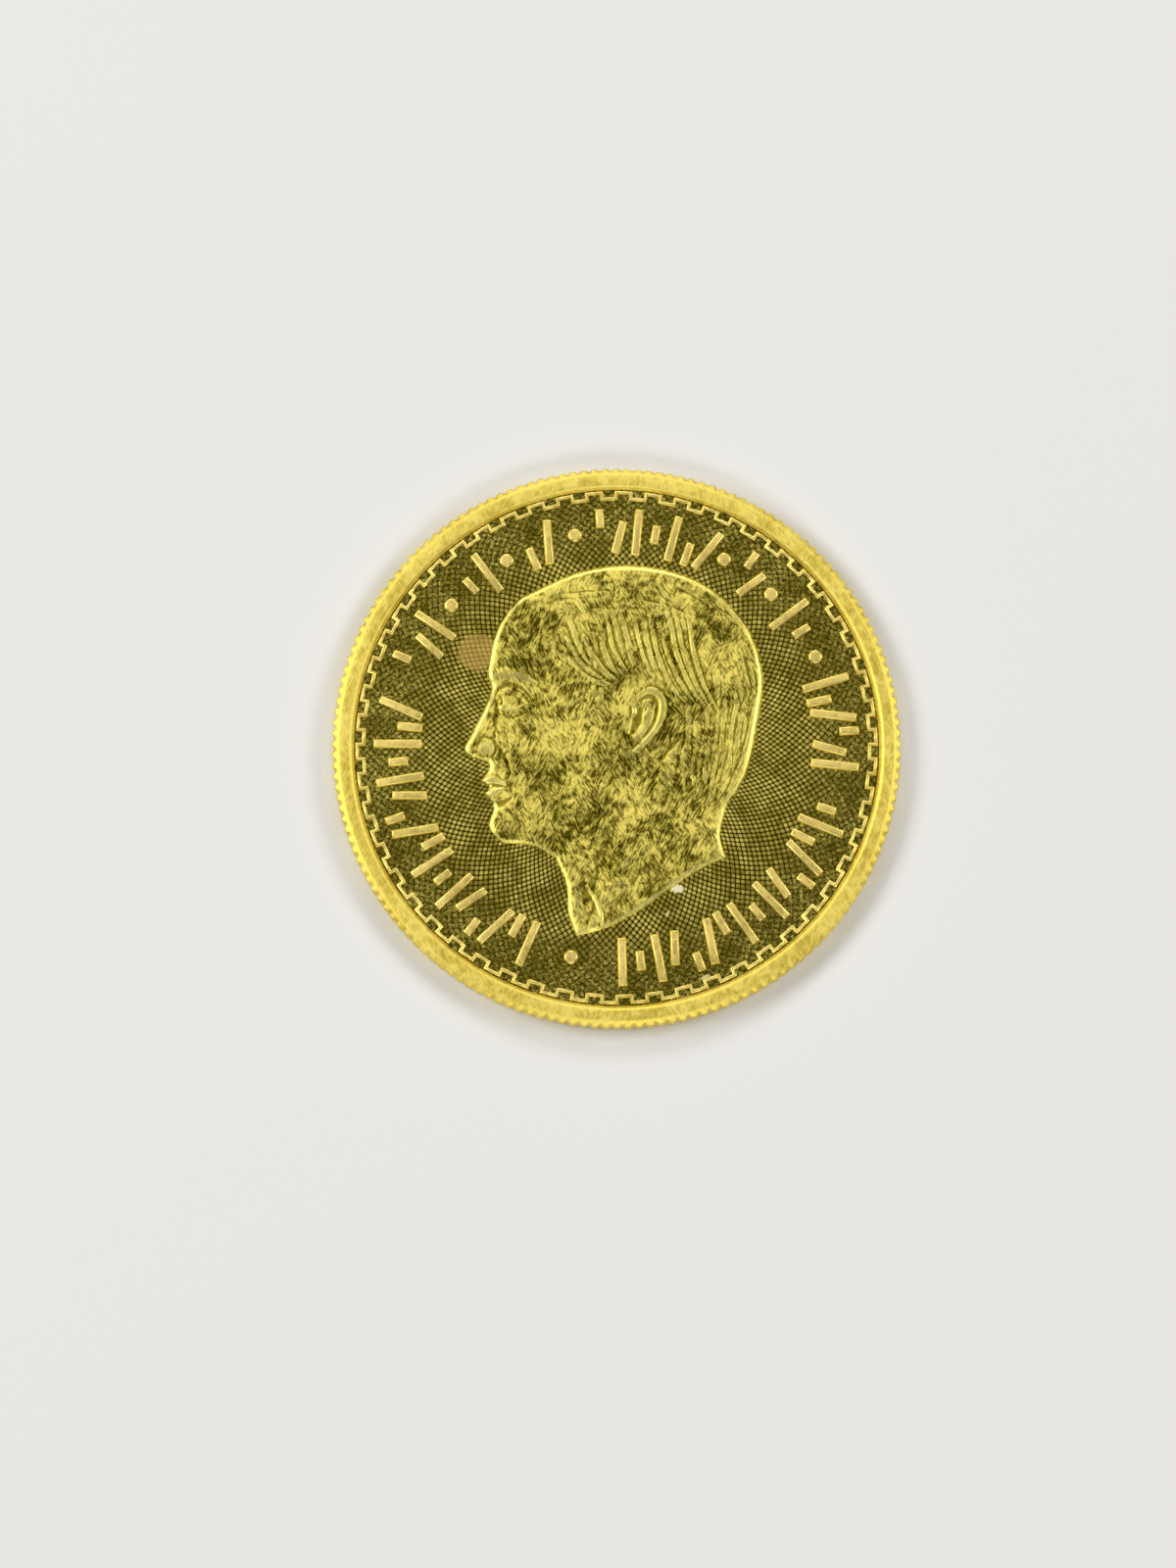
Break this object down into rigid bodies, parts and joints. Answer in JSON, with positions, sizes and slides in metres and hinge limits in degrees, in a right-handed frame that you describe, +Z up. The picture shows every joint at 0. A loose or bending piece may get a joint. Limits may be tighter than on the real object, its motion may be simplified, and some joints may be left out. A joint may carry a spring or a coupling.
{
  "type": "gold bullion coin",
  "caption": "Struck gold bullion coin with a reeded edge, raised rims, a crenellated border, a ring of strokes and a left-facing portrait.",
  "frame": {"origin": "centre of the underside, on the plane of the lower rim", "axes": "+Z up through the portrait side, +Y towards twelve o'clock of the portrait side, +X towards three o'clock"},
  "size_m": [0.0386, 0.0386, 0.0018],
  "materials": {
    "gold": "struck gold: matte rims, frosted relief over a darker, finely chequered field"
  },
  "bodies": {
    "root": {"coin": "gold"}
  },
  "joints": []
}
